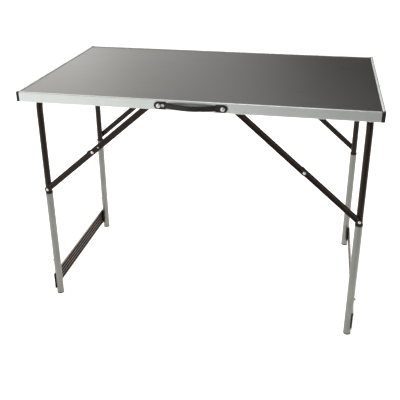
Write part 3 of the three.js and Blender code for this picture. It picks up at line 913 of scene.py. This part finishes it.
def add_crossbar_screws(side, face_x, middle_z):
    """Two screws into each leg, one above the other."""
    outward = X_AXIS * SIDES[side]
    for end in ENDS:
        leg = leg_axis(f"lower_leg_{side}_{end}")[0]
        for level, offset in (("low", -22 * MM), ("high", 22 * MM)):
            name = f"crossbar_screw_{side}_{end}_{level}"
            spot = Vector((face_x, leg.y, middle_z + offset))
            settle(screw_head(name, 3.9 * MM, 2 * MM, outward, spot), f"{side}_lower", "zinc")


# ------------------------------------------------------------------ braces
LINK_R = 9 * MM
PIVOT_HOLE_R = 2.9 * MM


def stadium_loop(start, stop, radius, y):
    """Closed loop of a round-ended strip in the XZ plane at the given y."""
    steps = 14
    lean = math.degrees(math.atan2(stop.z - start.z, stop.x - start.x))
    outline = arc((start.x, start.z), radius, lean + 90, lean + 270, steps)
    outline += arc((stop.x, stop.z), radius, lean - 90, lean + 90, steps)
    return [Vector((x, y, z)) for x, z in outline]


def link_solid(start, stop, inner_y, outer_y):
    """Pressed strip between two pivots with a shallow channel along its outer face."""
    groove = 0.9 * MM
    step_in = 13 * MM
    direction = (stop - start).normalized()
    channel_start = start + direction * step_in
    channel_stop = stop - direction * step_in
    out = 1 if outer_y > inner_y else -1
    edge = 0.5 * MM
    rim = [(edge, inner_y), (0, inner_y + out * edge), (0, outer_y - out * edge)]
    rim += [(edge * 0.4, outer_y - out * edge * 0.35), (edge * 1.2, outer_y)]
    channel = ((4.6 * MM, 0), (4.2 * MM, 0.25), (3.4 * MM, 0.9), (3.0 * MM, 1))
    loops = [stadium_loop(start, stop, LINK_R - inset, y) for inset, y in rim]
    for radius, share in channel:
        loops.append(stadium_loop(channel_start, channel_stop, radius, outer_y - out * groove * share))
    return loft(loops)


def add_link(node, body, start, stop, layer, holes, outward):
    """One link of a brace, drilled for the pivots that turn in it."""
    link = build(f"{node}_strip", [link_solid(start, stop, *layer)], "frame_paint", 50)
    drill(link, [cylinder(PIVOT_HOLE_R, -LINK_R, LINK_R, outward, pivot) for pivot in holes])
    settle(link, body, "frame_paint", node)


def add_brace(side, end):
    """Two links on their pivots, with a stop tab at the middle one."""
    name = f"{side}_{end}"
    leg_pivot = Vector(JOINTS[f"{name}_lower_brace_fold"]["pos_m"])
    top_pivot = Vector(JOINTS[f"{name}_upper_brace_fold"]["pos_m"])
    rivet_low, rivet_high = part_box(f"middle_rivet_{name}")
    middle = (rivet_low + rivet_high) / 2
    outward = Y_AXIS * ENDS[end]

    def layer(node):
        """The node's two y limits, from the leg frame's middle outwards."""
        low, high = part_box(node)
        return (low.y, high.y) if ENDS[end] > 0 else (high.y, low.y)

    lower, upper = f"brace_lower_{name}", f"brace_upper_{name}"
    add_link(lower, f"{name}_brace_lower", leg_pivot, middle, layer(lower), [leg_pivot], outward)
    add_link(upper, f"{name}_brace_upper", top_pivot, middle, layer(upper), [top_pivot, middle], outward)
    add_stop(name, top_pivot, middle, layer(lower if side == "left" else upper))
    add_rivet(f"leg_rivet_{name}", f"{side}_leg", outward)
    add_rivet(f"middle_rivet_{name}", f"{name}_brace_upper", outward)
    if side == "left":
        add_dimple(name, outward, top_pivot, middle, layer(upper)[1])


def add_stop(name, top_pivot, middle, layer):
    """Small tab on the brace's upper edge: the lower link's on a left brace, the upper's on a right one."""
    left = name.startswith("left")
    run = (middle - top_pivot).normalized() * (1 if left else -1)
    run.y = 0
    up = Vector((-run.z, 0, run.x))
    if up.z < 0:
        up = -up
    clear = LINK_R - 0.3 * MM
    rise = 2.3 * MM
    outline = [(4 * MM, clear), (18 * MM, clear), (17 * MM, clear + rise * 0.7)]
    outline += [(15 * MM, clear + rise), (7 * MM, clear + rise), (5 * MM, clear + rise * 0.7)]
    base = Vector((middle.x, 0, middle.z))
    loops = [[base + run * a + up * b + Y_AXIS * y for a, b in outline] for y in layer]
    tab = bevel(build(f"brace_stop_{name}", [loft(loops)], "frame_paint"), 0.6 * MM)
    settle(tab, f"{name}_brace_{'lower' if left else 'upper'}", "frame_paint")


def add_rivet(node, body, outward):
    """Domed rivet through a brace; the middle one has a second head on its inner side."""
    low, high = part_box(node)
    centre = (low + high) / 2
    inner = low.y if outward.y > 0 else high.y
    length = high.y - low.y
    radius = (high.x - low.x) / 2
    shank = 2.6 * MM
    head = 1.5 * MM
    rim = length - head * 0.8
    profile = [(0, 0), (shank, 0)]
    if node.startswith("middle"):
        profile = [(0, 0), (radius, 0), (radius, 1.3 * MM), (shank, 1.3 * MM)]
    profile += [(shank, length - head), (radius - 0.2 * MM, length - head), (radius, rim)]
    profile += [(r, rim + h) for r, h in dome(radius, head * 0.8, 6)[1:]]
    origin = Vector((centre.x, inner, centre.z))
    settle(build(f"{node}_head", [lathe(profile, outward, origin, 36)], "zinc"), body, "zinc", node)


def add_dimple(name, outward, top_pivot, middle, face_y):
    """Small bright head on the upper link, a little above its middle rivet."""
    up = (top_pivot - middle).normalized()
    spot = Vector((middle.x, face_y, middle.z)) + Vector((up.x, 0, up.z)) * 25 * MM
    dimple = build(f"brace_dimple_{name}", [rivet(2.1 * MM, 0.7 * MM, outward, spot, 1.2 * MM)], "zinc")
    settle(dimple, f"{name}_brace_upper", "zinc")


# ------------------------------------------------------------------ the object
dress_board()
add_rails()
add_caps()
add_handle()
add_handle_screws()
for side_name in SIDES:
    add_leg_frame(side_name)
    add_crossbar(side_name)
    for end_name in ENDS:
        add_hinge_bracket(side_name, end_name)
        add_brace_bracket(side_name, end_name)
        add_lower_leg(side_name, end_name)
        add_collar(side_name, end_name)
        add_foot(side_name, end_name)
        add_button(side_name, end_name)
        add_brace(side_name, end_name)


# ------------------------------------------------------------------ stage, light and camera
# Brightness of the surround against the X part of a direction.
SKY_STOPS = [(-1.0, 0.8), (-0.5, 2.15), (-0.38, 2.05), (-0.3, 1.35), (-0.15, 0.72)]
SKY_STOPS += [(0.0, 0.15), (0.1, 0.07), (0.4, 0.25), (1.0, 0.5)]
SKY_OVERHEAD = 0.24
SKY_BELOW = 0.85
# The floor's patch of painted shade: its middle, and the distances where it starts and stops fading.
DIM_SPOT = (1.2, -2.9, 0)
DIM_FADE = (1.1, 2.4)


def add_floor():
    """Pale floor with a painted glow, emission that stands in for light, and a patch of painted shade at
    the front right that is darker and glows less; clear from below.
    """
    half = 30.0
    corners = [(-half, -half, 0), (half, -half, 0), (half, half, 0), (-half, half, 0)]
    floor = bpy.data.meshes.new("floor")
    floor.from_pydata(corners, [], [(0, 1, 2, 3)])
    s = Shader("floor")
    place = s.place()
    cloud = s.noise(place, 0.7, 2, 0.5)
    distance = s.add("ShaderNodeVectorMath", operation="DISTANCE")
    distance.inputs[1].default_value = DIM_SPOT
    s.join(place, distance.inputs[0])
    away = distance.outputs["Value"]
    pale = s.ramp(cloud, [(0.3, (0.93, 0.93, 0.93)), (0.7, (0.95, 0.95, 0.95))])
    # Painted shade: a dark grey patch on the floor at the front right.
    colour = s.mix(s.span(away, 1, 0, *DIM_FADE), pale, (0.25, 0.25, 0.25))
    # Painted glow: emission that stands in for light, faded out in the painted shade patch.
    s.join(s.span(away, 0.0, 0.85, *DIM_FADE), s.bsdf.inputs["Emission Strength"])
    s.bsdf.inputs["Emission Color"].default_value = (1, 1, 1, 1)
    seen_from = s.add("ShaderNodeNewGeometry")
    clear = s.add("ShaderNodeBsdfTransparent")
    either = s.add("ShaderNodeMixShader")
    s.join(seen_from.outputs["Backfacing"], either.inputs["Fac"])
    s.join(s.bsdf.outputs["BSDF"], either.inputs[1])
    s.join(clear.outputs["BSDF"], either.inputs[2])
    s.join(either.outputs["Shader"], s.tree.nodes["Material Output"].inputs["Surface"])
    floor.materials.append(s.finish(colour, Roughness=0.9, Specular_IOR_Level=0.0))
    piece = bpy.data.objects.new("floor", floor)
    bpy.context.scene.collection.objects.link(piece)


def add_sky():
    """Soft studio surround: a bright screen low at the back-left, falling off to a dim right side."""
    world = bpy.data.worlds.new("studio")
    bpy.context.scene.world = world
    world.use_nodes = True
    tree = world.node_tree

    def add(kind, **settings):
        node = tree.nodes.new(kind)
        for key, value in settings.items():
            setattr(node, key, value)
        return node

    def span(value, low, high, **settings):
        """0 to 1 over the value's range from low to high."""
        node = add("ShaderNodeMapRange", **settings)
        node.inputs["From Min"].default_value = low
        node.inputs["From Max"].default_value = high
        tree.links.new(value, node.inputs["Value"])
        return node.outputs["Result"]

    def blend(factor, first, level):
        """From the first socket's colour to a grey of the given level."""
        node = add("ShaderNodeMix", data_type="RGBA")
        node.inputs[7].default_value = (level, level, level, 1)
        tree.links.new(factor, node.inputs["Factor"])
        tree.links.new(first, node.inputs[6])
        return node.outputs[2]

    coordinates = add("ShaderNodeTexCoord")
    split = add("ShaderNodeSeparateXYZ")
    ramp = add("ShaderNodeValToRGB")
    elements = ramp.color_ramp.elements
    while len(elements) < len(SKY_STOPS):
        elements.new(0.5)
    for element, (place, level) in zip(elements, SKY_STOPS):
        element.position = (place + 1) / 2
        element.color = (level, level * 0.985, level * 0.955, 1)
    tree.links.new(coordinates.outputs["Generated"], split.inputs["Vector"])
    tree.links.new(span(split.outputs["X"], -1.0, 1.0), ramp.inputs["Fac"])
    rising = span(split.outputs["Z"], 0.4, 0.65, interpolation_type="SMOOTHSTEP")
    falling = span(split.outputs["Z"], -0.02, -0.06)
    above = blend(rising, ramp.outputs["Color"], SKY_OVERHEAD)
    background = tree.nodes["Background"]
    background.inputs["Strength"].default_value = 1.0
    tree.links.new(blend(falling, above, SKY_BELOW), background.inputs["Color"])


def add_light(name, place, target, size, watts):
    """Square soft light at a place, turned towards its target."""
    light = bpy.data.lights.new(name, "AREA")
    light.shape = "SQUARE"
    light.size = size
    light.energy = watts
    lamp = bpy.data.objects.new(name, light)
    bpy.context.scene.collection.objects.link(lamp)
    lamp.location = place
    lamp.rotation_euler = (Vector(target) - Vector(place)).to_track_quat("-Z", "Y").to_euler()


def add_camera(place, azimuth, elevation, roll, lens, shift):
    """Azimuth 0 looks along +Y; elevation is the camera's downward tilt; all three in degrees."""
    az, el, ro = (math.radians(angle) for angle in (azimuth, elevation, roll))
    ahead = Vector((math.sin(az) * math.cos(el), math.cos(az) * math.cos(el), -math.sin(el)))
    level = Vector((math.cos(az), -math.sin(az), 0))
    rise = level.cross(ahead)
    right = level * math.cos(ro) + rise * math.sin(ro)
    up = rise * math.cos(ro) - level * math.sin(ro)
    data = bpy.data.cameras.new("camera")
    data.lens = lens
    data.sensor_width = 36
    data.shift_x, data.shift_y = shift
    data.clip_start, data.clip_end = 0.05, 100
    camera = bpy.data.objects.new("camera", data)
    camera.matrix_world = Matrix.Translation(place) @ Matrix((right, up, -ahead)).transposed().to_4x4()
    bpy.context.scene.collection.objects.link(camera)
    bpy.context.scene.camera = camera


add_floor()
add_sky()
add_light("top_softbox", (-0.3, -0.5, 3.6), (0, 0, 0), 1.5, 12)
add_light("back_softbox", (0.1, 2.6, 3.2), (0, 0, 0.7), 1.5, 42)
add_light("front_softbox", (-2.6, -3.4, 2.4), (0, 0, 0.4), 2.2, 10)
bpy.context.scene.view_settings.view_transform = "Standard"
add_camera(Vector((0.3321, -1.8027, 1.1968)), -11.48, 23.82, -0.32, 55.02, (0.0, -0.075))
